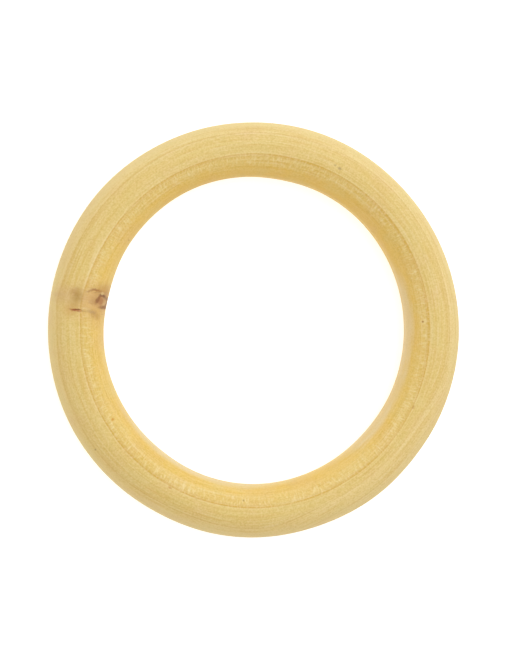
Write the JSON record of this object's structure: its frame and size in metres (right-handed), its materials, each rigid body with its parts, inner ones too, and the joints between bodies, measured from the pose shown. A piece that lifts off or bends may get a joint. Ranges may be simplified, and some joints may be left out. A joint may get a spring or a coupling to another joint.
{
  "type": "baby grasping ring",
  "caption": "Turned wooden ring with a round section, smooth all over, for a baby to hold and chew, with a small dead knot in it.",
  "frame": {"origin": "middle of the underside, on the ring's axis", "axes": "+Z along the ring's axis, out of the hole; +Y is the top of the upright ring as it is usually seen; the knot is near -X"},
  "size_m": [0.07, 0.07, 0.0092],
  "materials": {
    "ring_wood": "turned softwood, sanded, raw, satin",
    "knot_wood": "dead branch knot, bark-edged, sanded flush"
  },
  "bodies": {
    "root": {"ring": "ring_wood", "knot": "knot_wood"}
  },
  "joints": []
}
